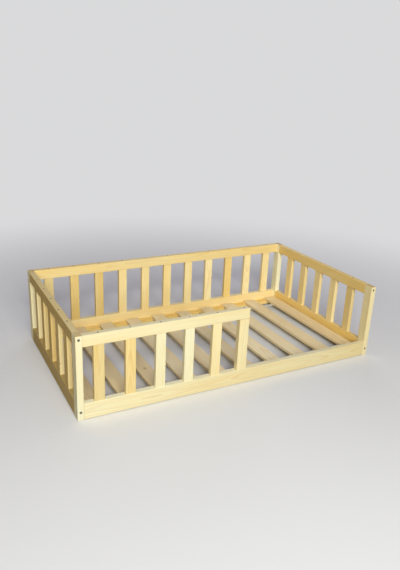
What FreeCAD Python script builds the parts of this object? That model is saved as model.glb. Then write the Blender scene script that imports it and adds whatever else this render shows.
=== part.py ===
"""Toddler floor bed: four posts, four slatted panels, a part-length guard and a slatted deck.

Millimetres. X runs along the bed, Y from front to back, Z up. The origin is on the floor, under
the middle of the bed. The entrance gap is at the front, right of the guard.
"""
import FreeCAD, Part
import math
import os
from FreeCAD import Rotation, Vector

# ---- Driving dimensions -------------------------------------------------------------------------
bed_length = 1370.0            # over the posts, along X
bed_width = 760.0              # over the posts, along Y
bed_height = 335.0             # to the top of the posts and top rails

post_width = 25.0              # along X
post_depth = 44.0              # along Y
rail_thickness = 25.0
top_rail_height = 44.0
bottom_rail_height = 64.0
rail_floor_gap = 2.0           # the posts stand on the floor, the bottom rails hang just above it
rail_bevel = 2.0               # on the edges of posts and the long edges of rails

guard_reach = 706.0            # left end of the bed to the free end of the guard
guard_upright_width = 44.0     # closes the free end of the guard, as thick as the rails

baluster_width = 40.0
baluster_thickness = 18.0
baluster_inset = 2.0           # set back from the outer faces of the rails
baluster_bevel = 1.5
rear_baluster_count = 11
rear_row_margin = 45.0         # clear of the posts at both ends of the rear row
guard_baluster_count = 5
guard_row_margin = 39.5        # clear of the left post
end_baluster_count = 5         # the two ends share their clear width evenly
tenon_width = 26.0             # stub tenon under each baluster
tenon_thickness = 10.0
tenon_length = 12.0
tenon_fit = 0.15               # clearance on each side of a tenon
glue_room = 1.0                # below a tenon's end

ledger_width = 40.0            # along Y, carries the slat ends
ledger_height = 18.0
ledger_lift = 3.0              # above the underside of the bottom rails
ledger_end_gap = 0.5

slat_count = 10
slat_width = 63.0
slat_thickness = 14.0
slat_bevel = 1.5
deck_margin = 10.5             # free length at each end of the deck, when it lies centred
deck_shift = 4.0               # the loose deck lies this far towards the right end
slat_front_gap = 2.0           # from the front rail; the slats are a little short and lie forward
slat_rear_gap = 24.0

tape_width = 20.0              # woven tapes under the slats keep their spacing
tape_thickness = 1.2
tape_place = 70.0              # middle of each tape, from the ends of the slats

frame_screw_diameter = 7.0     # hexagon-socket furniture screws, post to rail
frame_screw_head_diameter = 10.0
frame_screw_head_height = 4.0
frame_screw_socket = 4.0       # across the flats
frame_screw_socket_depth = 3.0
lengthwise_screw_length = 70.0  # under the head, through the width of a post
crosswise_screw_length = 85.0   # under the head, through the depth of a post
head_recess = 1.0              # the heads lie this far below the faces of the posts
head_clearance = 0.3
shank_clearance = 0.1
thread_clearance = 0.05
pilot_overrun = 2.0            # a blind hole goes this far past its screw
crosswise_top_drop = 15.0      # screw axis below the top of the rails
crosswise_bottom_rise = 31.0   # screw axis above the underside of the bottom rails
lengthwise_top_rise = 11.0     # screw axis above the underside of the top rails
lengthwise_bottom_rise = 44.0  # screw axis above the underside of the bottom rails

wood_screw_diameter = 4.5      # countersunk, flush
wood_screw_head_diameter = 8.0
wood_screw_head_height = 2.6
baluster_screw_length = 80.0
ledger_screw_length = 55.0
ledger_screw_count = 4
ledger_screw_margin = 140.0    # end of the ledger to its first screw

# What is small or out of sight on the many screws has few flat sides.
HEAD_SIDES = 8
SHANK_SIDES = 6

# ---- Levels and spans that follow from them -----------------------------------------------------
bottom_rail_low = rail_floor_gap
bottom_rail_top = bottom_rail_low + bottom_rail_height
top_rail_low = bed_height - top_rail_height
ledger_low = bottom_rail_low + ledger_lift
slat_low = ledger_low + ledger_height
slat_top = slat_low + slat_thickness

long_rail_length = bed_length - 2 * post_width
end_rail_length = bed_width - 2 * post_depth
side_length = {"front": bed_length, "rear": bed_length, "left": bed_width, "right": bed_width}
side_post = {"front": post_width, "rear": post_width, "left": post_depth, "right": post_depth}

parts = {}


# ---- Places and basic solids --------------------------------------------------------------------
def place(side, along, inward, height):
    """A point by its side: along from the left or front corner, inward from the outer face."""
    if side == "front":
        return Vector(along - bed_length / 2, inward - bed_width / 2, height)
    if side == "rear":
        return Vector(along - bed_length / 2, bed_width / 2 - inward, height)
    if side == "left":
        return Vector(inward - bed_length / 2, along - bed_width / 2, height)
    return Vector(bed_length / 2 - inward, along - bed_width / 2, height)


def block(one, other):
    """The box between two opposite corners."""
    low = Vector(min(one.x, other.x), min(one.y, other.y), min(one.z, other.z))
    size = Vector(abs(one.x - other.x), abs(one.y - other.y), abs(one.z - other.z))
    return Part.makeBox(size.x, size.y, size.z, low)


def grain(solid):
    """The direction of a board's longest side."""
    box = solid.BoundBox
    sizes = {box.XLength: Vector(1, 0, 0), box.YLength: Vector(0, 1, 0), box.ZLength: Vector(0, 0, 1)}
    return sizes[max(sizes)]


def long_edges(solid):
    along = grain(solid)
    return [edge for edge in solid.Edges if edge.tangentAt(edge.FirstParameter).cross(along).Length < 0.01]


def bevelled(solid, width):
    """The board with its long edges bevelled."""
    return solid.makeChamfer(width, long_edges(solid))


def with_holes(solid, holes):
    return solid.cut(holes) if holes else solid


# ---- Screws -------------------------------------------------------------------------------------
def aimed(solid, point, direction):
    """A solid drawn from the origin along +Z, moved to a point and turned along a direction."""
    solid.Placement = FreeCAD.Placement(point, Rotation(Vector(0, 0, 1), direction))
    return solid


def prism(sides, radius, length, start=0.0):
    """A regular prism along +Z; the radius is to its corners."""
    turns = [2 * math.pi * k / sides for k in range(sides + 1)]
    corners = [Vector(radius * math.cos(turn), radius * math.sin(turn), start) for turn in turns]
    return Part.Face(Part.makePolygon(corners)).extrude(Vector(0, 0, length))


def tapered_prism(sides, radius, end_radius, length):
    """A regular prism along +Z that narrows from one radius to another."""
    rings = []
    for ring_radius, height in ((radius, 0.0), (end_radius, length)):
        turns = [2 * math.pi * k / sides for k in range(sides + 1)]
        corners = [Vector(ring_radius * math.cos(turn), ring_radius * math.sin(turn), height) for turn in turns]
        rings.append(Part.makePolygon(corners))
    return Part.makeLoft(rings, True, True)


def frame_screw(face_point, direction, length):
    """A screw with a cylinder head and a hexagon socket, its head below the face it enters."""
    head = Part.makeCylinder(frame_screw_head_diameter / 2, frame_screw_head_height)
    shank = prism(SHANK_SIDES, frame_screw_diameter / 2, length, frame_screw_head_height)
    socket = prism(6, frame_screw_socket / math.sqrt(3), frame_screw_socket_depth)
    screw = head.fuse(shank).cut(socket)
    return aimed(screw, face_point + direction * head_recess, direction)


def frame_screw_seat(face_point, direction, post_size):
    """The counterbore and through hole in a post."""
    seat_depth = head_recess + frame_screw_head_height
    seat = Part.makeCylinder(frame_screw_head_diameter / 2 + head_clearance, seat_depth)
    bore = prism(SHANK_SIDES, frame_screw_diameter / 2 + shank_clearance, post_size - seat_depth, seat_depth)
    return aimed(seat.fuse(bore), face_point, direction)


def frame_screw_pilot(face_point, direction, post_size, length):
    """The blind hole in the end of a rail."""
    depth = head_recess + frame_screw_head_height + length + pilot_overrun - post_size
    pilot = prism(SHANK_SIDES, frame_screw_diameter / 2 + thread_clearance, depth)
    return aimed(pilot, face_point + direction * post_size, direction)


def wood_screw(face_point, direction, length):
    """A countersunk screw, flush with the face it enters."""
    root = wood_screw_diameter / 2
    head = tapered_prism(HEAD_SIDES, wood_screw_head_diameter / 2, root, wood_screw_head_height)
    shank = prism(SHANK_SIDES, root, length - wood_screw_head_height, wood_screw_head_height)
    return aimed(head.fuse(shank), face_point, direction)


def wood_screw_hole(face_point, direction, depth):
    """The countersunk hole that a wood screw fits."""
    root = wood_screw_diameter / 2 + thread_clearance
    rim = wood_screw_head_diameter / 2 + thread_clearance
    head = tapered_prism(HEAD_SIDES, rim, root, wood_screw_head_height)
    shank = prism(SHANK_SIDES, root, depth - wood_screw_head_height, wood_screw_head_height)
    return aimed(head.fuse(shank), face_point, direction)


# ---- Where the frame screws go ------------------------------------------------------------------
INTO_SIDE = {"front": Vector(0, 1, 0), "rear": Vector(0, -1, 0), "left": Vector(1, 0, 0), "right": Vector(-1, 0, 0)}


def corner_screws(rail_side, post_side):
    """Heights, direction and reach of the two screws that hold one side's rails to one post."""
    if rail_side in ("left", "right"):
        heights = {"top": bed_height - crosswise_top_drop, "bottom": bottom_rail_low + crosswise_bottom_rise}
        return heights, INTO_SIDE[post_side], post_depth, crosswise_screw_length
    heights = {"top": top_rail_low + lengthwise_top_rise, "bottom": bottom_rail_low + lengthwise_bottom_rise}
    return heights, INTO_SIDE[post_side], post_width, lengthwise_screw_length


def screw_entry(rail_side, post_side, height):
    """The point on a post's outer face where a screw into a rail enters."""
    along = 0.0 if post_side in ("front", "left") else side_length[rail_side]
    return place(rail_side, along, rail_thickness / 2, height)


CORNERS = [("front", "left"), ("front", "right"), ("rear", "left"), ("rear", "right")]
# The guard stops short of the right end, so that post holds no rail at the top of the front.
OPEN_CORNER = ("front", "right", "top")


def screws_at(long_side, end_side):
    """Every frame screw at one corner, as rail side, level, entry, direction, post size, length."""
    found = []
    for rail_side, post_side in ((long_side, end_side), (end_side, long_side)):
        heights, direction, post_size, length = corner_screws(rail_side, post_side)
        for level, height in heights.items():
            if (rail_side, post_side, level) != OPEN_CORNER:
                entry = screw_entry(rail_side, post_side, height)
                found.append((rail_side, level, entry, direction, post_size, length))
    return found


all_frame_screws = [screw for corner in CORNERS for screw in screws_at(*corner)]


def rail_pilots(side, level):
    return [frame_screw_pilot(entry, direction, post_size, length)
            for rail_side, rail_level, entry, direction, post_size, length in all_frame_screws
            if (rail_side, rail_level) == (side, level)]


# ---- Posts --------------------------------------------------------------------------------------
def make_post(long_side, end_side):
    along = 0.0 if end_side == "left" else bed_length - post_width
    solid = block(place(long_side, along, 0, 0), place(long_side, along + post_width, post_depth, bed_height))
    solid = solid.makeChamfer(rail_bevel, solid.Edges)
    seats = [frame_screw_seat(entry, direction, post_size)
             for _, _, entry, direction, post_size, _ in screws_at(long_side, end_side)]
    parts["post_%s_%s" % (long_side, end_side)] = with_holes(solid, seats)


# ---- Balusters ----------------------------------------------------------------------------------
def row(first, last, count):
    """Middles of evenly spread balusters, the first and last of them at these two places."""
    return [first + k * (last - first) / (count - 1) for k in range(count)]


upright_place = guard_reach - guard_upright_width / 2
upright_left = guard_reach - guard_upright_width
end_pitch = (end_rail_length + baluster_width) / (end_baluster_count + 1)
first_in_guard = post_width + guard_row_margin + baluster_width / 2
guard_pitch = (upright_left + baluster_width / 2 - first_in_guard) / guard_baluster_count
first_in_rear = post_width + rear_row_margin + baluster_width / 2
first_in_end = post_depth + end_pitch - baluster_width / 2
end_row = row(first_in_end, bed_width - first_in_end, end_baluster_count)
baluster_places = {
    "front": row(first_in_guard, upright_left + baluster_width / 2 - guard_pitch, guard_baluster_count),
    "rear": row(first_in_rear, bed_length - first_in_rear, rear_baluster_count),
    "left": end_row,
    "right": end_row,
}


def make_stile(side, along, width, outer, thickness):
    """An upright piece between the rails, with a stub tenon at its foot."""
    low = place(side, along - width / 2, outer, bottom_rail_top)
    high = place(side, along + width / 2, outer + thickness, top_rail_low)
    solid = bevelled(block(low, high), baluster_bevel)
    middle = outer + thickness / 2
    tenon = block(place(side, along - tenon_width / 2, middle - tenon_thickness / 2, bottom_rail_top - tenon_length),
                  place(side, along + tenon_width / 2, middle + tenon_thickness / 2, bottom_rail_top))
    return solid.fuse(tenon).removeSplitter()


def mortise(side, along, middle):
    """The pocket in a bottom rail for one tenon."""
    half_width = tenon_width / 2 + tenon_fit
    half_thickness = tenon_thickness / 2 + tenon_fit
    low = bottom_rail_top - tenon_length - glue_room
    return block(place(side, along - half_width, middle - half_thickness, low),
                 place(side, along + half_width, middle + half_thickness, bottom_rail_top))


def stiles(side):
    """Place, width, outer face and thickness of each upright of one side."""
    found = [(along, baluster_width, baluster_inset, baluster_thickness) for along in baluster_places[side]]
    if side == "front":
        found.append((upright_place, guard_upright_width, 0.0, rail_thickness))
    return found


def stile_screw(side, along, outer, thickness):
    """Entry of the screw that holds an upright under its top rail."""
    return place(side, along, outer + thickness / 2, bed_height)


DOWN = Vector(0, 0, -1)


def make_panel(side):
    """The two rails of one side and the balusters between them."""
    first = side_post[side]
    last = side_length[side] - first
    low_rail = bevelled(block(place(side, first, 0, bottom_rail_low),
                              place(side, last, rail_thickness, bottom_rail_top)), rail_bevel)
    top_last = guard_reach if side == "front" else last
    top_rail = bevelled(block(place(side, first, 0, top_rail_low),
                              place(side, top_last, rail_thickness, bed_height)), rail_bevel)
    pockets = rail_pilots(side, "bottom")
    holes = rail_pilots(side, "top")
    for number, (along, width, outer, thickness) in enumerate(stiles(side), 1):
        entry = stile_screw(side, along, outer, thickness)
        hole = wood_screw_hole(entry, DOWN, baluster_screw_length + pilot_overrun)
        solid = make_stile(side, along, width, outer, thickness).cut(hole)
        if width == guard_upright_width:
            parts["guard_upright"] = solid
        else:
            parts["baluster_%s_%02d" % (side, number)] = solid
        pockets.append(mortise(side, along, outer + thickness / 2))
        holes.append(hole)
        baluster_screws.append(wood_screw(entry, DOWN, baluster_screw_length))
    parts["bottom_rail_" + side] = with_holes(low_rail, pockets)
    parts["guard_rail" if side == "front" else "top_rail_" + side] = with_holes(top_rail, holes)


# ---- Ledgers and deck ---------------------------------------------------------------------------
def ledger_screw_places():
    """Places of a ledger's screws, evenly spread between its end margins."""
    first = post_width + ledger_end_gap + ledger_screw_margin
    step = (bed_length - 2 * first) / (ledger_screw_count - 1)
    return [first + k * step for k in range(ledger_screw_count)]


def make_ledger(side):
    """The strip inside a long bottom rail that carries the ends of the slats."""
    first = post_width + ledger_end_gap
    inner = rail_thickness + ledger_width
    solid = bevelled(block(place(side, first, rail_thickness, ledger_low),
                           place(side, bed_length - first, inner, slat_low)), baluster_bevel)
    holes = []
    for along in ledger_screw_places():
        entry = place(side, along, inner, ledger_low + ledger_height / 2)
        outward = INTO_SIDE[side] * -1
        holes.append(wood_screw_hole(entry, outward, ledger_screw_length + pilot_overrun))
        ledger_screws.append(wood_screw(entry, outward, ledger_screw_length))
    parts["ledger_" + side] = with_holes(solid, holes)
    parts["bottom_rail_" + side] = with_holes(parts["bottom_rail_" + side], holes)


slat_pitch = (long_rail_length - 2 * deck_margin - slat_width) / (slat_count - 1)
deck_left = -long_rail_length / 2 + deck_margin + deck_shift
deck_right = deck_left + (slat_count - 1) * slat_pitch + slat_width
slat_front = -bed_width / 2 + rail_thickness + slat_front_gap
slat_rear = bed_width / 2 - rail_thickness - slat_rear_gap


def make_deck():
    for k in range(slat_count):
        left = deck_left + k * slat_pitch
        solid = block(Vector(left, slat_front, slat_low), Vector(left + slat_width, slat_rear, slat_top))
        parts["slat_%02d" % (k + 1)] = bevelled(solid, slat_bevel)
    tape_low = slat_low - tape_thickness
    for name, middle in (("front", slat_front + tape_place), ("rear", slat_rear - tape_place)):
        parts["slat_tape_" + name] = block(Vector(deck_left, middle - tape_width / 2, tape_low),
                                           Vector(deck_right, middle + tape_width / 2, slat_low))


# ---- Assembly -----------------------------------------------------------------------------------
baluster_screws = []
ledger_screws = []

for corner in CORNERS:
    make_post(*corner)
for side_name in ("front", "rear", "left", "right"):
    make_panel(side_name)
for side_name in ("front", "rear"):
    make_ledger(side_name)
make_deck()


def frame_screw_group(sides):
    return Part.makeCompound([frame_screw(entry, direction, length)
                              for rail_side, _, entry, direction, _, length in all_frame_screws
                              if rail_side in sides])


parts["frame_screws_lengthwise"] = frame_screw_group(("front", "rear"))
parts["frame_screws_crosswise"] = frame_screw_group(("left", "right"))
parts["baluster_screws"] = Part.makeCompound(baluster_screws)
parts["ledger_screws"] = Part.makeCompound(ledger_screws)

os.makedirs("parts", exist_ok=True)
for name, solid in parts.items():
    solid.exportStep("parts/%s.step" % name)
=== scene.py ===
"""Looks of a toddler floor bed: plain planed pine, sunk steel screws, a slatted deck on tapes.

Metres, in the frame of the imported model: X along the bed, Y from front to back, Z up, floor at Z 0.
"""
import math
import random

import bmesh
import bpy
from mathutils import Matrix, Vector


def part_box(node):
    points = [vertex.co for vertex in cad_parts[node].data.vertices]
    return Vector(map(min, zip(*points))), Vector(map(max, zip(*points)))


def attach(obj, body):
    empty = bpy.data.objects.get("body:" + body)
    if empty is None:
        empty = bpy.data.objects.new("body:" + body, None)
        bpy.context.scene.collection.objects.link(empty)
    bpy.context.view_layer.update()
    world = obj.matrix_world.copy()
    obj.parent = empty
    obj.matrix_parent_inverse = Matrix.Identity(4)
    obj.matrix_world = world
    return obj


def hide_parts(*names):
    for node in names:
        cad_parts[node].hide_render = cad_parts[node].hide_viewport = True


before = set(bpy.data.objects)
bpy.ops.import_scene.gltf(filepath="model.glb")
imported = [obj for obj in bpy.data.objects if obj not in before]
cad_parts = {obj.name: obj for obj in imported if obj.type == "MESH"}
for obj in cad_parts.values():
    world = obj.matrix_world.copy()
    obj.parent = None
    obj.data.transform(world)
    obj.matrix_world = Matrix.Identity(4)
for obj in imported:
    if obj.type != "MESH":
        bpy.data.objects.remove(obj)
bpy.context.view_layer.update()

MM = 0.001
BODY = "root"

# ---- Finish of the boards ------------------------------------------------------------------------
RAIL_ROUND = 2.0 * MM          # round-over on posts and rails
STILE_ROUND = 1.5 * MM         # round-over on balusters, ledgers and slats
SAWN_EDGE = 0.4 * MM           # barely broken edge round a sawn end
ROUND_STEPS = 4
STATION_GAP = 45 * MM          # sections along a board, where the hand-sanded round-over varies
SANDING_SPREAD = 0.16          # share by which the round-over varies along a board
SANDING_RATES = (3, 11)        # how fast it varies, in radians per metre, from any start
SANDING_SHIFTS = (0, 6.28)
FLAT_WEIGHT = 90               # how firmly the large faces hold the normals at their edges

# ---- Screws --------------------------------------------------------------------------------------
FRAME_HEAD_RADIUS = 5.0 * MM
FRAME_SHANK_RADIUS = 3.5 * MM
HEAD_HEIGHT = 4.0 * MM
HEAD_EASE = 0.5 * MM           # rounded edge of a cylinder head
HEAD_RECESS = 1.0 * MM         # cylinder heads sit this far under the face
SEAT_EASE = 0.3 * MM           # clearance round a sunk screw head
MOUTH = 0.35 * MM              # broken edge at the mouth of a hole
SOCKET_WIDTH = 4.0 * MM
SOCKET_DEPTH = 2.6 * MM
WOOD_HEAD_RADIUS = 4.0 * MM
WOOD_SHANK_RADIUS = 2.25 * MM
SINK = 0.45 * MM               # countersunk heads sit this far under the face
CONE_HEIGHT = 2.6 * MM
CROSS_REACH = 2.3 * MM         # half the width of the cross recess
CROSS_WEB = 0.55 * MM          # half the thickness of its arms
CROSS_DEPTH = 1.7 * MM
TURN_STEPS = 40                # sides of a turned shape
SHARP_ANGLE = 32               # degrees
SAME_POINT = 0.001 * MM        # points nearer than this are one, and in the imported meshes:
SAME_PACKED_POINT = 0.005 * MM
ON_END_FACE = 0.01 * MM        # a point this near to the end of a screw lies on its end face


# ---- Meshes --------------------------------------------------------------------------------------
def new_object(name, data):
    """A new object in the scene, of a mesh, a lamp or a camera."""
    made = bpy.data.objects.new(name, data)
    bpy.context.scene.collection.objects.link(made)
    return made


def object_from(name, bm):
    """A new object from a bmesh, with its normals outward."""
    bmesh.ops.recalc_face_normals(bm, faces=bm.faces)
    mesh = bpy.data.meshes.new(name)
    bm.to_mesh(mesh)
    bm.free()
    return new_object(name, mesh)


def bridge(bm, rings):
    """Quads between rings of as many vertices, and a face at each end."""
    for ring, following in zip(rings, rings[1:]):
        count = len(ring)
        for k in range(count):
            after = (k + 1) % count
            bm.faces.new((ring[k], ring[after], following[after], following[k]))
    bm.faces.new(list(reversed(rings[0])))
    bm.faces.new(rings[-1])


def circle(steps):
    """Angles spread evenly over one turn."""
    return [2 * math.pi * k / steps for k in range(steps)]


def lathe(name, profile):
    """A solid of revolution about +Z over a list of (radius, height), from one end to the other."""
    bm = bmesh.new()
    rings = []
    for radius, height in profile:
        rings.append([bm.verts.new((radius * math.cos(turn), radius * math.sin(turn), height))
                      for turn in circle(TURN_STEPS)])
    bridge(bm, rings)
    return object_from(name, bm)


def prism(name, corners, low, high):
    """A straight prism along Z over an outline of (x, y) corners."""
    bm = bmesh.new()
    bridge(bm, [[bm.verts.new((x, y, z)) for x, y in corners] for z in (low, high)])
    return object_from(name, bm)


def carve(piece, cutters):
    """Cuts the cutters out of the piece, and removes them. Points that fall together become one."""
    for cutter in cutters:
        cut = piece.modifiers.new("cut", "BOOLEAN")
        cut.operation = "DIFFERENCE"
        cut.solver = "EXACT"
        cut.object = cutter
    graph = bpy.context.evaluated_depsgraph_get()
    mesh = bpy.data.meshes.new_from_object(piece.evaluated_get(graph))
    piece.modifiers.clear()
    bm = bmesh.new()
    bm.from_mesh(mesh)
    bmesh.ops.remove_doubles(bm, verts=bm.verts, dist=SAME_POINT)
    bm.to_mesh(mesh)
    bm.free()
    piece.data = mesh
    for cutter in cutters:
        bpy.data.objects.remove(cutter)
    return piece


def joined(name, mesh, places):
    """One object that holds a copy of the mesh at each place."""
    bm = bmesh.new()
    for place in places:
        copy = mesh.copy()
        copy.transform(place)
        bm.from_mesh(copy)
        bpy.data.meshes.remove(copy)
    made = bpy.data.meshes.new(name)
    bm.to_mesh(made)
    bm.free()
    return new_object(name, made)


def shade_smooth(piece):
    for face in piece.data.polygons:
        face.use_smooth = True


def flat_faces_stay_flat(piece):
    """Smooth shading that leaves the large faces flat."""
    shade_smooth(piece)
    weighted = piece.modifiers.new("normals", "WEIGHTED_NORMAL")
    weighted.mode = "FACE_AREA_WITH_ANGLE"
    weighted.weight = FLAT_WEIGHT


# ---- Boards --------------------------------------------------------------------------------------
# For a board that runs along X, Y or Z, the frame's axes in the order: along, across, through.
AXES = {"X": (0, 1, 2), "Y": (1, 2, 0), "Z": (2, 0, 1)}


def rounded_outline(half_across, half_through, radii):
    """Points round a rectangle whose four corners have radii of their own."""
    points = []
    signs = ((1, 1), (-1, 1), (-1, -1), (1, -1))
    for corner, ((sign_a, sign_t), radius) in enumerate(zip(signs, radii)):
        for k in range(ROUND_STEPS + 1):
            turn = math.pi / 2 * (corner + k / ROUND_STEPS)
            across = sign_a * (half_across - radius) + radius * math.cos(turn)
            through = sign_t * (half_through - radius) + radius * math.sin(turn)
            points.append((across, through))
    return points


def stations(length, edge):
    """Places along a board, and how far in its section is drawn there by the edge at both ends."""
    ends = []
    for k in range(ROUND_STEPS + 1):
        turn = math.pi / 2 * k / ROUND_STEPS
        ends.append((edge * (1 - math.cos(turn)), edge * (1 - math.sin(turn))))
    count = max(2, round((length - 2 * edge) / STATION_GAP))
    middle = [(edge + (length - 2 * edge) * k / count, 0.0) for k in range(1, count)]
    return ends + middle + [(length - along, inward) for along, inward in reversed(ends)]


def board(name, low, high, axis, radius, edge):
    """A planed board between two corners of the frame, its long edges rounded over by hand."""
    chance = random.Random("sanding " + name)
    order = AXES[axis]
    length, across, through = [high[k] - low[k] for k in order]
    waves = [(chance.uniform(*SANDING_RATES), chance.uniform(*SANDING_SHIFTS)) for _ in range(4)]
    bm = bmesh.new()
    rings = []
    for along, inward in stations(length, edge):
        radii = [radius * (1 + SANDING_SPREAD * math.sin(rate * along + shift))
                 for rate, shift in waves]
        ring = []
        for a, t in rounded_outline(across / 2 - inward, through / 2 - inward, radii):
            point = [0.0, 0.0, 0.0]
            for value, k in zip((along - length / 2, a, t), order):
                point[k] = (low[k] + high[k]) / 2 + value
            ring.append(bm.verts.new(point))
        rings.append(ring)
    bridge(bm, rings)
    return object_from(name, bm)


def grain_axis(low, high):
    """The direction of a board's longest side."""
    sizes = [high[k] - low[k] for k in range(3)]
    return "XYZ"[sizes.index(max(sizes))]


# ---- The look of each board ----------------------------------------------------------------------
# Each board as the photograph shows it: how golden, from 0, pale, to 1, and how bright. Besides
# each board's own colour, these carry painted light and shade: the left bottom rail is darker for
# painted shade, slats 4 and 5 brighter for painted light where the front balusters shade them,
# and the front bottom rail brighter at its left end for the painted falloff of the key light. A
# board whose colour drifts along its length has two such looks, for its left or front end and the
# other.
BOARDS = {
    "post_front_left": (-0.40, 0.98), "post_front_right": (0.08, 0.99),
    "post_rear_left": (-0.28, 1.10), "post_rear_right": (-0.60, 1.12),
    "guard_rail": (0.03, 0.98), "guard_upright": (0.22, 0.99),
    # Brighter and paler at its left end: painted falloff of the key light.
    "bottom_rail_front": ((-0.40, 1.09), (-0.04, 0.98)),
    "top_rail_rear": (0.58, 1.01), "bottom_rail_rear": (0.45, 1.07),
    "ledger_front": (0.50, 1.00), "ledger_rear": (1.02, 1.11),
    "top_rail_left": ((0.55, 0.89), (0.38, 0.91)),
    # Darker: painted shade.
    "bottom_rail_left": ((1.10, 0.61), (1.12, 0.57)),
    "top_rail_right": ((0.92, 0.99), (0.84, 1.08)),
    "bottom_rail_right": ((1.25, 1.00), (1.05, 1.08)),
}
BALUSTERS = {
    "front": ((0.50, 0.87), (0.58, 0.95), (-0.25, 0.99), (-0.30, 1.00), (0.25, 1.02)),
    "rear": ((0.40, 0.90), (0.85, 0.90), (0.85, 0.89), (0.50, 1.06), (0.65, 1.05), (0.45, 1.07),
             (0.30, 1.08), (0.15, 1.12), (0.90, 1.03), (0.30, 1.12), (0.30, 1.08)),
    "left": ((0.60, 1.00), (0.10, 1.06), (0.85, 0.97), (0.55, 1.00), (0.08, 1.12)),
    "right": ((0.68, 0.91), (0.32, 1.08), (0.35, 1.02), (0.60, 1.02), (0.60, 1.06)),
}
# Slats 4 and 5 brighter: painted light against the shade of the front balusters.
SLATS = ((0.30, 0.98), (0.40, 1.00), (0.28, 1.02), (0.12, 1.13), (0.20, 1.14), (0.25, 1.05),
         ((0.10, 1.12), (0.32, 1.03)), (0.00, 1.08), (0.35, 1.08), (0.50, 1.05))
for side, looks in BALUSTERS.items():
    for number, look in enumerate(looks, 1):
        BOARDS["baluster_%s_%02d" % (side, number)] = look
for number, look in enumerate(SLATS, 1):
    BOARDS["slat_%02d" % number] = look

# Boards whose wide faces take painted shade, by the start of their names, and how far: at 1 the
# wide faces are painted so much more golden, and by such a share darker, than the edges.
SHADED_FACE_BOARDS = {"baluster_left_": 1.0, "top_rail_left": 1.0, "bottom_rail_front": 0.35}
FACE_SHADE_GOLDEN = 0.65
FACE_SHADE_DARK = 0.27

# Knots that the photograph shows: share of the length and of the width from the middle, size at the
# low face of the board, and the share by which it has shrunk at the high face. A knot past the edge
# of its board shows as the warm wood round it.
KNOTS = {
    "baluster_left_02": (-0.30, -0.455, 1.7 * MM, 0.9),
    "baluster_left_03": (-0.34, -0.62, 3.6 * MM, 0.5),
    "slat_03": (-0.222, 0.01, 3.6 * MM, 0.0),
}
NO_KNOT = (0.0, 5.0, 0.01 * MM, 0.0)

PITH_DEPTH = (16, 70)          # millimetres from a board's middle to the pith, through the board
PITH_SIDE = (-0.8, 0.8)        # and across it, in widths of the board
PLACE_IN_LOG = (0, 40)         # metres along the grain, so that no two boards share their figure
SAWN_FACING = 0.7              # a face that looks this far along its board is a sawn end


def attribute(mesh, name, kind, domain, values):
    made = mesh.attributes.new(name, kind, domain)
    made.data.foreach_set("vector" if kind == "FLOAT_VECTOR" else "value", values)


def log_position(piece, node, low, high, axis):
    """Writes where each point lay in its log: along the grain, and across from the pith.

    Also writes the board's knot (place along, place across, size), how golden and how bright it is,
    which faces are sawn ends, and how much painted shade each face takes.
    """
    chance = random.Random("log " + node)
    along, across, through = AXES[axis]
    if high[across] - low[across] < high[through] - low[through]:
        across, through = through, across
    width = high[across] - low[across]
    length = high[along] - low[along]
    middle = [(low[k] + high[k]) / 2 for k in range(3)]
    pith_depth = chance.uniform(*PITH_DEPTH) * MM * chance.choice((-1, 1))
    pith_side = chance.uniform(*PITH_SIDE) * width
    start = chance.uniform(*PLACE_IN_LOG)
    mesh = piece.data
    grain = []
    for vertex in mesh.vertices:
        grain.append(start + vertex.co[along] - middle[along])
        grain.append(pith_depth + vertex.co[through] - middle[through])
        grain.append(pith_side + vertex.co[across] - middle[across])
    attribute(mesh, "grain", "FLOAT_VECTOR", "POINT", grain)
    share_along, share_across, size, taper = KNOTS.get(node, NO_KNOT)
    knot_place = start + share_along * length
    knot_side = pith_side + share_across * width
    knots = []
    for vertex in mesh.vertices:
        depth = (vertex.co[through] - low[through]) / (high[through] - low[through])
        knots += [knot_place, knot_side, size * (1 - taper * depth)]
    attribute(mesh, "knot", "FLOAT_VECTOR", "POINT", knots)
    look = BOARDS[node]
    near, far = look if isinstance(look[0], tuple) else (look, look)
    shares = [(vertex.co[along] - low[along]) / length for vertex in mesh.vertices]
    for name, near_value, far_value in zip(("golden", "bright"), near, far):
        values = [near_value + (far_value - near_value) * share for share in shares]
        attribute(mesh, name, "FLOAT", "POINT", values)
    sawn = [1.0 if abs(face.normal[along]) > SAWN_FACING else 0.0 for face in mesh.polygons]
    attribute(mesh, "sawn_end", "FLOAT", "FACE", sawn)
    # Painted shade: how far each wide face is made darker and more golden than the edges.
    face_shade_share = sum(share for prefix, share in SHADED_FACE_BOARDS.items() if node.startswith(prefix))
    face_shade = [face_shade_share * abs(face.normal[through]) for face in mesh.polygons]
    attribute(mesh, "painted_face_shade", "FLOAT", "FACE", face_shade)


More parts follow.
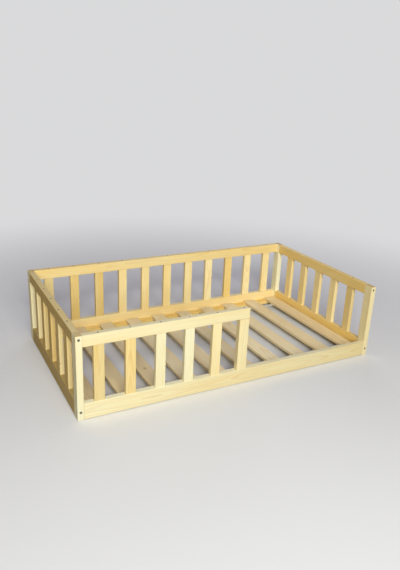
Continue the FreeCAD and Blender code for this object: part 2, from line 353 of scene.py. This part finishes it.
# ---- Shader graphs -------------------------------------------------------------------------------
class Graph:
    """Short ways to add and link the nodes of one material."""

    def __init__(self, name):
        self.material = bpy.data.materials.new(name)
        self.material.use_nodes = True
        self.tree = self.material.node_tree
        self.shader = self.tree.nodes["Principled BSDF"]

    def feed(self, socket, value):
        if isinstance(value, bpy.types.NodeSocket):
            self.tree.links.new(value, socket)
        elif socket.type == "RGBA":
            socket.default_value = (*value, 1.0)
        else:
            socket.default_value = value

    def node(self, kind, **settings):
        made = self.tree.nodes.new("ShaderNode" + kind)
        for key, value in settings.items():
            setattr(made, key, value)
        return made

    def read(self, name, output="Vector"):
        return self.node("Attribute", attribute_name=name).outputs[output]

    def math(self, operation, first, second=0.0):
        made = self.node("Math", operation=operation)
        for socket, value in zip(made.inputs, (first, second)):
            self.feed(socket, value)
        return made.outputs[0]

    def square(self, value):
        return self.math("MULTIPLY", value, value)

    def centred(self, noise, amount):
        """Noise about 0.5 as a push to either side."""
        return self.math("MULTIPLY", self.math("SUBTRACT", noise, 0.5), amount)

    def split(self, vector):
        made = self.node("SeparateXYZ")
        self.feed(made.inputs[0], vector)
        return made.outputs

    def join(self, x, y, z):
        made = self.node("CombineXYZ")
        for socket, value in zip(made.inputs, (x, y, z)):
            self.feed(socket, value)
        return made.outputs[0]

    def stretched(self, vector, factors):
        made = self.node("VectorMath", operation="MULTIPLY")
        self.feed(made.inputs[0], vector)
        self.feed(made.inputs[1], factors)
        return made.outputs[0]

    def noise(self, vector, scale=1.0, detail=2.0):
        made = self.node("TexNoise")
        self.feed(made.inputs["Vector"], vector)
        self.feed(made.inputs["Scale"], scale)
        self.feed(made.inputs["Detail"], detail)
        self.feed(made.inputs["Roughness"], 0.5)
        return made.outputs["Fac"]

    def step(self, value, low, high, start=0.0, end=1.0):
        """A smooth step from start to end as the value goes from low to high."""
        made = self.node("MapRange", interpolation_type="SMOOTHSTEP")
        for name, number in (("Value", value), ("From Min", low), ("From Max", high),
                             ("To Min", start), ("To Max", end)):
            self.feed(made.inputs[name], number)
        return made.outputs[0]

    def mix(self, factor, first, second, blend="MIX", beyond=False):
        """The first colour at a factor of 0 and the second at 1, or beyond them where asked."""
        made = self.node("Mix", data_type="RGBA", blend_type=blend, clamp_factor=not beyond)
        self.feed(made.inputs[0], factor)
        self.feed(made.inputs[6], first)
        self.feed(made.inputs[7], second)
        return made.outputs[2]

    def bump(self, height, distance):
        made = self.node("Bump")
        made.inputs["Distance"].default_value = distance
        self.feed(made.inputs["Height"], height)
        return made.outputs[0]


# ---- Pine ----------------------------------------------------------------------------------------
# Cells of noise per metre: along the grain, through the board and across it.
WANDER_CELLS = (1.6, 9.0, 9.0)
RIPPLE_CELLS = (9.0, 60.0, 60.0)
CLOUD_CELLS = (2.2, 14.0, 14.0)
STREAK_CELLS = (3.0, 140.0, 140.0)
FIBRE_CELLS = (14.0, 950.0, 950.0)
DASH_CELLS = (90.0, 1500.0, 1500.0)

RING_WIDTH = 3.1 * MM
WANDER = 30 * MM               # how far the rings stray from a true round
RIPPLE = 1.6 * MM
LATE_SHARE = 0.31              # how far the latewood shows on a planed face
SAWN_LATE_SHARE = 0.65         # and on a sawn end
DASH_SHARE = 0.22
GOLDEN_RANGE = (-0.6, 1.1)
WOOD_RELIEF = 0.12 * MM

KNOT_HALO = (0.70, 0.42, 0.14)
KNOT_HEART = (0.42, 0.19, 0.06)
KNOT_RING = (0.27, 0.105, 0.035)
KNOT_RIM = (0.13, 0.055, 0.022)
KNOT_LEAN = 0.3                # how far a branch leans along the board for its depth
KNOT_SHORTENING = 0.7          # across the grain a knot measures this share of its length
KNOT_YEARS = 3.6               # rings in one radius of a knot
KNOT_ROUGHNESS = 0.7           # how far its outline strays, in radii
BULGE = 1.3                    # how far the trunk's rings bend round it, in radii
BULGE_FADE = -0.22


def knot(g, u, v, w):
    """Distance from a knot's heart, in knot radii, and the knot's size.

    A branch runs through the board, leaning a little.
    """
    place, side, size = g.split(g.read("knot"))
    lean = g.math("MULTIPLY", v, KNOT_LEAN)
    along = g.math("SUBTRACT", g.math("SUBTRACT", u, place), lean)
    along = g.math("MULTIPLY", along, KNOT_SHORTENING)
    across = g.math("SUBTRACT", w, side)
    square = g.math("ADD", g.square(along), g.square(across))
    return g.math("DIVIDE", g.math("SQRT", square), size), size


def pine(name, pale, golden, latewood, sawn, knot_depth):
    """Planed pine: growth rings about the pith, fibres along the grain, knots and sawn ends."""
    g = Graph(name)
    grain = g.read("grain")
    u, v, w = g.split(grain)
    face_shade = g.read("painted_face_shade", "Fac")
    sawn_end = g.read("sawn_end", "Fac")

    # The trunk is not quite round or straight, so the rings wander, and they bend round a knot.
    wander = g.noise(g.stretched(grain, WANDER_CELLS), detail=1.0)
    ripple = g.noise(g.stretched(grain, RIPPLE_CELLS))
    distance, size = knot(g, u, v, w)
    radius = g.math("SQRT", g.math("ADD", g.square(v), g.square(w)))
    radius = g.math("ADD", radius, g.centred(wander, WANDER))
    radius = g.math("ADD", radius, g.centred(ripple, RIPPLE))
    near = g.math("EXPONENT", g.math("MULTIPLY", g.square(distance), BULGE_FADE))
    radius = g.math("ADD", radius, g.math("MULTIPLY", near, g.math("MULTIPLY", size, BULGE)))
    years = g.math("DIVIDE", radius, RING_WIDTH)
    season = g.math("FRACT", years)
    late = g.math("MULTIPLY", g.step(season, 0.35, 0.90), g.step(season, 1.0, 0.93))
    strength = g.noise(g.join(g.math("FLOOR", years), 0.0, 0.0), scale=0.83, detail=0.0)
    late = g.math("MULTIPLY", late, g.step(strength, 0.3, 0.7, 0.35, 1.0))

    # Fibres: fine streaks along the grain, and short resin dashes.
    fibre = g.noise(g.stretched(grain, FIBRE_CELLS))
    streak = g.noise(g.stretched(grain, STREAK_CELLS), detail=3.0)
    dash = g.step(g.noise(g.stretched(grain, DASH_CELLS), detail=1.0), 0.70, 0.80)

    # The plain wood, from pale to golden, clouded and streaked, with each board's painted light and
    # shade.
    cloud = g.noise(g.stretched(grain, CLOUD_CELLS))
    share = g.math("ADD", g.read("golden", "Fac"), g.step(cloud, 0.30, 0.75, -0.16, 0.20))
    share = g.math("ADD", share, g.step(streak, 0.35, 0.70, -0.10, 0.12))
    # Painted shade: the wide faces of some boards are made more golden here.
    share = g.math("ADD", share, g.math("MULTIPLY", face_shade, FACE_SHADE_GOLDEN))
    clamp = g.node("Clamp")
    g.feed(clamp.inputs["Value"], share)
    clamp.inputs["Min"].default_value, clamp.inputs["Max"].default_value = GOLDEN_RANGE
    colour = g.mix(clamp.outputs[0], pale, golden, beyond=True)
    colour = g.mix(g.math("MULTIPLY", late, LATE_SHARE), colour, latewood)
    # Painted shade: the same wide faces are made darker here.
    darkening = g.math("SUBTRACT", 1.0, g.math("MULTIPLY", face_shade, FACE_SHADE_DARK))
    shade = g.math("MULTIPLY", g.read("bright", "Fac"), darkening)
    shade = g.math("MULTIPLY", shade, g.step(fibre, 0.25, 0.75, 0.955, 1.03))
    colour = g.mix(1.0, colour, g.join(shade, shade, shade), "MULTIPLY")
    colour = g.mix(g.math("MULTIPLY", dash, DASH_SHARE), colour, latewood)

    # Knots: a warm halo, a dark rim and a brown heart with rings of its own.
    rough_distance = g.math("ADD", distance, g.centred(ripple, KNOT_ROUGHNESS))
    halo = g.step(rough_distance, 3.2, 0.9)
    colour = g.mix(g.math("MULTIPLY", halo, 0.55), colour, KNOT_HALO)
    own_rings = g.math("FRACT", g.math("MULTIPLY", rough_distance, KNOT_YEARS))
    heart = g.mix(g.math("MULTIPLY", own_rings, 0.5), KNOT_HEART, KNOT_RING)
    colour = g.mix(g.step(rough_distance, 1.05, 0.85, 0.0, knot_depth), colour, heart)
    rim = g.math("MULTIPLY", g.step(rough_distance, 1.22, 1.0), g.step(rough_distance, 0.78, 0.95))
    colour = g.mix(g.math("MULTIPLY", rim, 0.75 * knot_depth), colour, KNOT_RIM)

    # Sawn ends: rougher, with the rings and the cut fibres showing more.
    end_colour = g.mix(g.math("MULTIPLY", late, SAWN_LATE_SHARE), sawn, latewood)
    end_colour = g.mix(g.step(fibre, 0.30, 0.70, 0.0, 0.22), end_colour, latewood)
    colour = g.mix(g.math("MULTIPLY", sawn_end, 0.8), colour, end_colour)
    g.feed(g.shader.inputs["Base Color"], colour)

    roughness = g.step(streak, 0.3, 0.7, 0.54, 0.66)
    roughness = g.math("ADD", roughness, g.math("MULTIPLY", sawn_end, 0.2))
    g.feed(g.shader.inputs["Roughness"], roughness)
    g.shader.inputs["Specular IOR Level"].default_value = 0.2

    relief = g.math("ADD", g.math("MULTIPLY", late, 0.5), g.math("MULTIPLY", fibre, 0.6))
    relief = g.math("SUBTRACT", relief, g.math("MULTIPLY", dash, 0.5))
    g.feed(g.shader.inputs["Normal"], g.bump(relief, WOOD_RELIEF))
    return g.material


frame_pine = pine("frame_pine", pale=(0.87, 0.78, 0.48), golden=(0.87, 0.63, 0.22),
                  latewood=(0.66, 0.40, 0.14), sawn=(0.62, 0.45, 0.20), knot_depth=1.0)
deck_pine = pine("deck_pine", pale=(0.90, 0.77, 0.48), golden=(0.86, 0.65, 0.325),
                 latewood=(0.62, 0.40, 0.20), sawn=(0.62, 0.45, 0.26), knot_depth=0.35)

# ---- Steel ---------------------------------------------------------------------------------------
CLOUDS_PER_METRE = 900.0
SCRATCH_CELLS = (600.0, 600.0, 3000.0)
TARNISH = 0.55                 # the share of its colour that dull steel keeps
STEEL_RELIEF = 0.06 * MM


def steel(name, colour, roughness):
    """Plated screw steel, a little dulled and scratched."""
    g = Graph(name)
    place = g.node("TexCoord").outputs["Object"]
    cloud = g.noise(place, scale=CLOUDS_PER_METRE, detail=3.0)
    scratch = g.noise(g.stretched(place, SCRATCH_CELLS))
    dull = tuple(TARNISH * c for c in colour)
    g.feed(g.shader.inputs["Base Color"], g.mix(g.step(cloud, 0.35, 0.72, 0.0, 0.6), colour, dull))
    g.shader.inputs["Metallic"].default_value = 1.0
    worn = g.step(scratch, 0.3, 0.7, roughness - 0.08, roughness + 0.12)
    g.feed(g.shader.inputs["Roughness"], worn)
    g.feed(g.shader.inputs["Normal"], g.bump(cloud, STEEL_RELIEF))
    return g.material


# Darker than bare steel: partly the screws' own colour, partly painted shade of their recesses.
frame_steel = steel("frame_screw_steel", (0.26, 0.26, 0.23), 0.40)
dark_steel = steel("wood_screw_steel", (0.14, 0.13, 0.12), 0.42)


# ---- Making the screws ---------------------------------------------------------------------------
def screws_of(node):
    """Head point, direction and length of each screw in a node, from its separate solids."""
    bm = bmesh.new()
    bm.from_mesh(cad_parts[node].data)
    bmesh.ops.remove_doubles(bm, verts=bm.verts, dist=SAME_PACKED_POINT)
    left = set(bm.verts)
    found = []
    while left:
        island = [left.pop()]
        for vertex in island:
            for edge in vertex.link_edges:
                other = edge.other_vert(vertex)
                if other in left:
                    left.remove(other)
                    island.append(other)
        low = Vector([min(v.co[k] for v in island) for k in range(3)])
        high = Vector([max(v.co[k] for v in island) for k in range(3)])
        axis = "XYZ".index(grain_axis(low, high))
        ends = []
        for place in (low[axis], high[axis]):
            end = (low + high) / 2
            end[axis] = place
            spread = max((v.co - end).length for v in island
                         if abs(v.co[axis] - place) < ON_END_FACE)
            ends.append((spread, end))
        ends.sort(key=lambda pair: -pair[0])
        head, point = ends[0][1], ends[1][1]
        found.append((head, (point - head).normalized(), (point - head).length))
    bm.free()
    return sorted(found, key=lambda screw: tuple(round(c, 5) for c in screw[0]))


def aimed(point, direction, turn=0.0):
    """The placement that brings +Z onto a direction and the origin onto a point."""
    rotation = direction.to_track_quat("Z", "Y").to_matrix().to_4x4()
    return Matrix.Translation(point) @ rotation @ Matrix.Rotation(turn, 4, "Z")


def hexagon(width):
    corner = width / math.sqrt(3)
    turns = [math.pi / 3 * k for k in range(6)]
    return [(corner * math.cos(turn), corner * math.sin(turn)) for turn in turns]


def socket_screw(length):
    """A cylinder head screw, its head face at the origin and its shank along +Z."""
    head, shank = FRAME_HEAD_RADIUS, FRAME_SHANK_RADIUS
    screw = lathe("socket_screw", [
        (head - HEAD_EASE, 0.0), (head - 0.15 * HEAD_EASE, 0.3 * HEAD_EASE), (head, HEAD_EASE),
        (head, HEAD_HEIGHT), (shank, HEAD_HEIGHT), (shank, length - shank), (shank * 0.5, length)])
    mouth = lathe("socket_screw_mouth", [
        (SOCKET_WIDTH * 0.66, -MM), (SOCKET_WIDTH * 0.66, 0.0), (SOCKET_WIDTH * 0.50, MOUTH)])
    socket = prism("socket_screw_socket", hexagon(SOCKET_WIDTH), -MM, SOCKET_DEPTH)
    return carve(screw, [mouth, socket])


def cross_screw(length):
    """A countersunk screw with a cross recess, its head face at the origin."""
    head, shank = WOOD_HEAD_RADIUS, WOOD_SHANK_RADIUS
    screw = lathe("cross_screw", [
        (head - 0.1 * MM, 0.0), (head, 0.15 * MM), (shank, CONE_HEIGHT),
        (shank, length - 3 * shank), (0.1 * MM, length)])
    cutters = []
    for number, (a, b) in enumerate(((CROSS_REACH, CROSS_WEB), (CROSS_WEB, CROSS_REACH))):
        corners = [(a, b), (-a, b), (-a, -b), (a, -b)]
        cutters.append(prism("cross_screw_wing_%d" % number, corners, -MM, CROSS_DEPTH))
    return carve(screw, cutters)


def screw_set(node, screws, sink, template, material):
    """Stands in for one node of screws with the template at each of their places."""
    chance = random.Random("screws " + node)
    places = []
    for head, direction, _ in screws:
        places.append(aimed(head + direction * sink, direction, chance.uniform(0, math.pi)))
    made = joined(node + "_detailed", template.data, places)
    made.data.materials.append(material)
    bpy.data.objects.remove(template)
    shade_smooth(made)
    made.data.set_sharp_from_angle(angle=math.radians(SHARP_ANGLE))
    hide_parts(node)
    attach(made, BODY)


frame_screws = {node: screws_of(node) for node in ("frame_screws_lengthwise",
                                                   "frame_screws_crosswise")}
wood_screws = {node: screws_of(node) for node in ("baluster_screws", "ledger_screws")}


def seat_cutter(name, head, direction):
    """The counterbore of a frame screw, with a broken edge at its mouth."""
    radius = FRAME_HEAD_RADIUS + SEAT_EASE
    cutter = lathe(name, [(radius + MOUTH + MM, -MM), (radius + MOUTH, 0.0), (radius, MOUTH),
                          (radius, HEAD_RECESS + HEAD_HEIGHT)])
    cutter.data.transform(aimed(head - direction * HEAD_RECESS, direction))
    return cutter


def sink_cutter(name, head, direction):
    """The countersink of a wood screw, wider than its head at the face, where the wood gave way."""
    depth = SINK + CONE_HEIGHT
    cutter = lathe(name, [
        (WOOD_HEAD_RADIUS + 0.5 * MM, -MM), (WOOD_HEAD_RADIUS + 0.12 * MM, 0.05 * MM),
        (WOOD_HEAD_RADIUS, SINK), (WOOD_SHANK_RADIUS, depth), (WOOD_SHANK_RADIUS, depth + 6 * MM)])
    cutter.data.transform(aimed(head, direction))
    return cutter


def holes_in(low, high):
    """Cutters for every screw whose head lies in the board between these corners."""
    reach = 1.5 * MM
    cutters = []
    for sets, make in ((frame_screws, seat_cutter), (wood_screws, sink_cutter)):
        for node, screws in sets.items():
            for number, (head, direction, _) in enumerate(screws):
                if all(low[k] - reach < head[k] < high[k] + reach for k in range(3)):
                    cutters.append(make("cut_%s_%d" % (node, number), head, direction))
    return cutters


# ---- The bed's boards and screws -----------------------------------------------------------------
stile_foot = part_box("bottom_rail_front")[1].z


def make_board(node, radius, edge, material):
    low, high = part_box(node)
    # The tenon of a stile is hidden in the rail, and left out.
    if node.startswith("baluster_") or node == "guard_upright":
        low.z = stile_foot
    axis = grain_axis(low, high)
    piece = board(node + "_planed", low, high, axis, radius, edge)
    cutters = holes_in(low, high)
    if cutters:
        carve(piece, cutters)
    log_position(piece, node, low, high, axis)
    piece.data.materials.append(material)
    flat_faces_stay_flat(piece)
    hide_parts(node)
    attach(piece, BODY)


KINDS = (
    ("post_", RAIL_ROUND, RAIL_ROUND, frame_pine, "frame_pine"),
    ("bottom_rail_", RAIL_ROUND, SAWN_EDGE, frame_pine, "frame_pine"),
    ("top_rail_", RAIL_ROUND, SAWN_EDGE, frame_pine, "frame_pine"),
    ("guard_rail", RAIL_ROUND, SAWN_EDGE, frame_pine, "frame_pine"),
    ("guard_upright", STILE_ROUND, SAWN_EDGE, frame_pine, "frame_pine"),
    ("baluster_", STILE_ROUND, SAWN_EDGE, frame_pine, "frame_pine"),
    ("ledger_", STILE_ROUND, SAWN_EDGE, frame_pine, "frame_pine"),
    ("slat_", STILE_ROUND, SAWN_EDGE, deck_pine, "deck_pine"),
)
for node in sorted(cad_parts):
    if "screws" in node or "tape" in node:
        continue
    for prefix, radius, edge, material, slot_name in KINDS:
        if node.startswith(prefix):
            make_board(node, radius, edge, material)

for node, screws in frame_screws.items():
    screw_set(node, screws, 0.0, socket_screw(screws[0][2]), frame_steel)
for node, screws in wood_screws.items():
    screw_set(node, screws, SINK, cross_screw(screws[0][2] - SINK), dark_steel)

# ---- Tapes under the slats -----------------------------------------------------------------------
TAPES = ("slat_tape_front", "slat_tape_rear")
TAPE_LIGHT = (0.80, 0.79, 0.75)
TAPE_SHADE = (0.52, 0.51, 0.48)
TAPE_SOIL = (0.60, 0.56, 0.49)
TAPE_RELIEF = 0.25 * MM
THREAD = 1.4 * MM              # width of two threads of the weave
FUZZ_PER_METRE = 2600.0
SOIL_CELLS = (9.0, 40.0, 40.0)
TAPE_SAG = 1.8 * MM            # most that a tape hangs down between two slats
TAPE_STEP = 4.0 * MM
TAPE_ROWS = 10
SELVEDGE = 0.25 * MM           # how much thicker a tape is along its edges


def tape_material():
    """Plain weave: warp and weft threads that pass over and under each other."""
    g = Graph("woven_tape")
    place = g.node("TexCoord").outputs["Object"]
    x, y, _ = g.split(place)
    warp = g.math("SINE", g.math("MULTIPLY", y, 2 * math.pi / THREAD))
    weft = g.math("SINE", g.math("MULTIPLY", x, 2 * math.pi / THREAD))
    over = g.math("MULTIPLY", warp, weft)
    fuzz = g.noise(place, scale=FUZZ_PER_METRE, detail=3.0)
    soil = g.noise(g.stretched(place, SOIL_CELLS), detail=3.0)
    colour = g.mix(g.step(over, -1.0, 1.0, 0.0, 0.55), TAPE_LIGHT, TAPE_SHADE)
    colour = g.mix(g.step(soil, 0.45, 0.8, 0.0, 0.4), colour, TAPE_SOIL)
    g.feed(g.shader.inputs["Base Color"], colour)
    g.feed(g.shader.inputs["Roughness"], g.step(fuzz, 0.2, 0.8, 0.72, 0.92))
    g.shader.inputs["Sheen Weight"].default_value = 0.15
    height = g.math("ADD", over, g.math("MULTIPLY", fuzz, 0.8))
    g.feed(g.shader.inputs["Normal"], g.bump(height, TAPE_RELIEF))
    return g.material


slats = sorted(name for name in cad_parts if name.startswith("slat_") and name not in TAPES)
slat_spans = [(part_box(name)[0].x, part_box(name)[1].x) for name in slats]


def sag_at(x):
    """How far the tape hangs below the slats: nothing under a slat, most between two."""
    for (_, leave), (arrive, _) in zip(slat_spans, slat_spans[1:]):
        if leave < x < arrive:
            share = (x - leave) / (arrive - leave)
            return TAPE_SAG * math.sin(math.pi * share) ** 1.2
    return 0.0


def make_tape(node, material):
    low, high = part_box(node)
    count = round((high.x - low.x) / TAPE_STEP)
    bm = bmesh.new()
    rings = []
    for k in range(count + 1):
        x = low.x + (high.x - low.x) * k / count
        drop = sag_at(x)
        top, bottom = [], []
        for row in range(TAPE_ROWS + 1):
            y = low.y + (high.y - low.y) * (row / TAPE_ROWS)
            thinner = SELVEDGE if 0 < row < TAPE_ROWS else 0.0
            top.append(bm.verts.new((x, y, high.z - drop)))
            bottom.append(bm.verts.new((x, y, low.z - drop + thinner)))
        rings.append(top + list(reversed(bottom)))
    bridge(bm, rings)
    piece = object_from(node + "_woven", bm)
    piece.data.materials.append(material)
    flat_faces_stay_flat(piece)
    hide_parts(node)
    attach(piece, BODY)


woven = tape_material()
for node in TAPES:
    make_tape(node, woven)

# ---- Staples -------------------------------------------------------------------------------------
STAPLE_CROWN = 9.0 * MM
STAPLE_WIRE = 0.6 * MM
STAPLE_LEG = 4 * MM
WIRE_STEPS = 8
STAPLE_PLACES = (0.27, 0.73)   # shares of a slat's width
STAPLE_SCATTER = 2             # millimetres either way
STAPLE_TWIST = 0.25            # radians either way


def staple_mesh():
    """One staple, lying along X with its legs up."""
    crown = STAPLE_CROWN / 2
    wire = STAPLE_WIRE / 2
    bend = 2 * wire
    half = [(crown, STAPLE_LEG), (crown, bend), (crown - bend * 0.3, bend * 0.3),
            (crown - bend, 0.0)]
    path = [(-along, height) for along, height in half] + half[::-1]
    bm = bmesh.new()
    rings = []
    for k, (along, height) in enumerate(path):
        before = path[max(k - 1, 0)]
        after = path[min(k + 1, len(path) - 1)]
        heading = Vector((after[0] - before[0], 0, after[1] - before[1])).normalized()
        normal = Vector((heading.z, 0, -heading.x))
        side = Vector((0, 1, 0))
        middle = Vector((along, 0, height))
        rings.append([
            bm.verts.new(middle + wire * (normal * math.cos(turn) + side * math.sin(turn)))
            for turn in circle(WIRE_STEPS)])
    bridge(bm, rings)
    return object_from("staple", bm)


def make_staples():
    """Two wire staples through each tape into each slat, seen from below."""
    staple = staple_mesh()
    chance = random.Random("staples")
    places = []
    for tape in TAPES:
        low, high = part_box(tape)
        middle = (low.y + high.y) / 2
        height = low.z + SELVEDGE - STAPLE_WIRE / 2 * 0.4
        for left, right in slat_spans:
            for share in STAPLE_PLACES:
                off_x = chance.uniform(-STAPLE_SCATTER, STAPLE_SCATTER) * MM
                off_y = chance.uniform(-STAPLE_SCATTER, STAPLE_SCATTER) * MM
                turn = math.pi / 2 + chance.uniform(-STAPLE_TWIST, STAPLE_TWIST)
                place = (left + (right - left) * share + off_x, middle + off_y, height)
                places.append(Matrix.Translation(place) @ Matrix.Rotation(turn, 4, "Z"))
    made = joined("tape_staples", staple.data, places)
    bpy.data.objects.remove(staple)
    made.data.materials.append(frame_steel)
    shade_smooth(made)
    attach(made, BODY)


make_staples()

# ---- Floor, light and camera ---------------------------------------------------------------------
BACKGROUND = (0.70, 0.70, 0.71)
FLOOR_REACH = 40.0
FLOOR_SEEN = (0.86, 0.86, 0.86)
FLOOR_BOUNCE = (0.28, 0.23, 0.17)      # so that the pale floor throws back little light
FLOOR_FADE = (0.9, 2.8)                # metres from the middle over which it turns into background
ZENITH = (0.60, 0.67, 1.0)
ZENITH_STRENGTH = 0.345
HORIZON = (1.0, 0.74, 0.40)
HORIZON_STRENGTH = 0.16
HORIZON_TO_ZENITH = (0.45, 0.95)       # height of a direction over which one turns into the other
LAMP_TARGET = (0.0, 0.0, 0.15)
SENSOR_WIDTH = 36.0
CAMERA_LENS = 51.7255
CAMERA_PLACE = (-1.160329, -2.135119, 1.190518)
CAMERA_TURN = (69.931624, -2.435546, -27.52984)


def seen_directly(tree):
    """1 for rays from the camera, and for what metal and glass show."""
    path = tree.nodes.new("ShaderNodeLightPath")
    total = path.outputs["Is Camera Ray"]
    for name in ("Is Glossy Ray", "Is Transmission Ray"):
        add = tree.nodes.new("ShaderNodeMath")
        add.operation = "MAXIMUM"
        tree.links.new(total, add.inputs[0])
        tree.links.new(path.outputs[name], add.inputs[1])
        total = add.outputs[0]
    return total


def mixed_shaders(tree, factor, first, second):
    """The first shader at a factor of 0 and the second at 1."""
    made = tree.nodes.new("ShaderNodeMixShader")
    for socket, value in zip(made.inputs, (factor, first, second)):
        tree.links.new(value, socket)
    return made.outputs[0]


def make_floor():
    """A pale floor that turns into the plain background far from the bed."""
    bpy.ops.mesh.primitive_plane_add(size=2 * FLOOR_REACH)
    floor = bpy.context.object
    floor.name = "studio_floor"
    g = Graph("studio_floor")
    seen = seen_directly(g.tree)
    g.shader.inputs["Roughness"].default_value = 0.9
    g.shader.inputs["Specular IOR Level"].default_value = 0.1
    g.feed(g.shader.inputs["Base Color"], g.mix(seen, FLOOR_BOUNCE, FLOOR_SEEN))
    length = g.node("VectorMath", operation="LENGTH")
    g.feed(length.inputs[0], g.node("TexCoord").outputs["Object"])
    backdrop = g.node("Emission")
    g.feed(backdrop.inputs["Color"], BACKGROUND)
    fade = g.math("MULTIPLY", g.step(length.outputs["Value"], *FLOOR_FADE), seen)
    shown = mixed_shaders(g.tree, fade, g.shader.outputs[0], backdrop.outputs[0])
    g.tree.links.new(shown, g.tree.nodes["Material Output"].inputs["Surface"])
    floor.data.materials.append(g.material)


def sky(tree, colour, strength):
    made = tree.nodes.new("ShaderNodeBackground")
    made.inputs["Color"].default_value = (*colour, 1.0)
    made.inputs["Strength"].default_value = strength
    return made.outputs[0]


def make_world():
    """Soft light: cool from above, little and warmer from the sides."""
    world = bpy.data.worlds.new("studio")
    bpy.context.scene.world = world
    world.use_nodes = True
    tree = world.node_tree
    direction = tree.nodes.new("ShaderNodeTexCoord")
    split = tree.nodes.new("ShaderNodeSeparateXYZ")
    tree.links.new(direction.outputs["Generated"], split.inputs[0])
    height = tree.nodes.new("ShaderNodeMapRange")
    height.interpolation_type = "SMOOTHSTEP"
    for name, value in zip(("From Min", "From Max"), HORIZON_TO_ZENITH):
        height.inputs[name].default_value = value
    tree.links.new(split.outputs["Z"], height.inputs["Value"])
    light = mixed_shaders(tree, height.outputs[0], sky(tree, HORIZON, HORIZON_STRENGTH),
                          sky(tree, ZENITH, ZENITH_STRENGTH))
    shown = mixed_shaders(tree, seen_directly(tree), light, sky(tree, BACKGROUND, 1.0))
    tree.links.new(shown, tree.nodes["World Output"].inputs["Surface"])


def make_lamp(name, place, size, power, colour):
    lamp = bpy.data.lights.new(name, "AREA")
    lamp.shape = "SQUARE"
    lamp.size = size
    lamp.energy = power
    lamp.color = colour
    made = new_object(name, lamp)
    made.location = place
    made.rotation_euler = (Vector(LAMP_TARGET) - Vector(place)).to_track_quat("-Z", "Y").to_euler()


def make_camera():
    """The viewpoint of the photograph, found from the bed's own edges."""
    lens = bpy.data.cameras.new("camera")
    lens.sensor_fit = "HORIZONTAL"
    lens.sensor_width = SENSOR_WIDTH
    lens.lens = CAMERA_LENS
    camera = new_object("camera", lens)
    camera.location = CAMERA_PLACE
    camera.rotation_euler = [math.radians(turn) for turn in CAMERA_TURN]
    bpy.context.scene.camera = camera


make_floor()
make_world()
make_lamp("key", place=(-1.5, -4.7, 2.45), size=2.6, power=297, colour=(0.99, 1.0, 0.94))
make_lamp("back_fill", place=(2.6, 3.9, 2.0), size=2.2, power=42, colour=(0.90, 0.90, 1.0))
make_camera()

settings = bpy.context.scene.view_settings
settings.view_transform = "Standard"
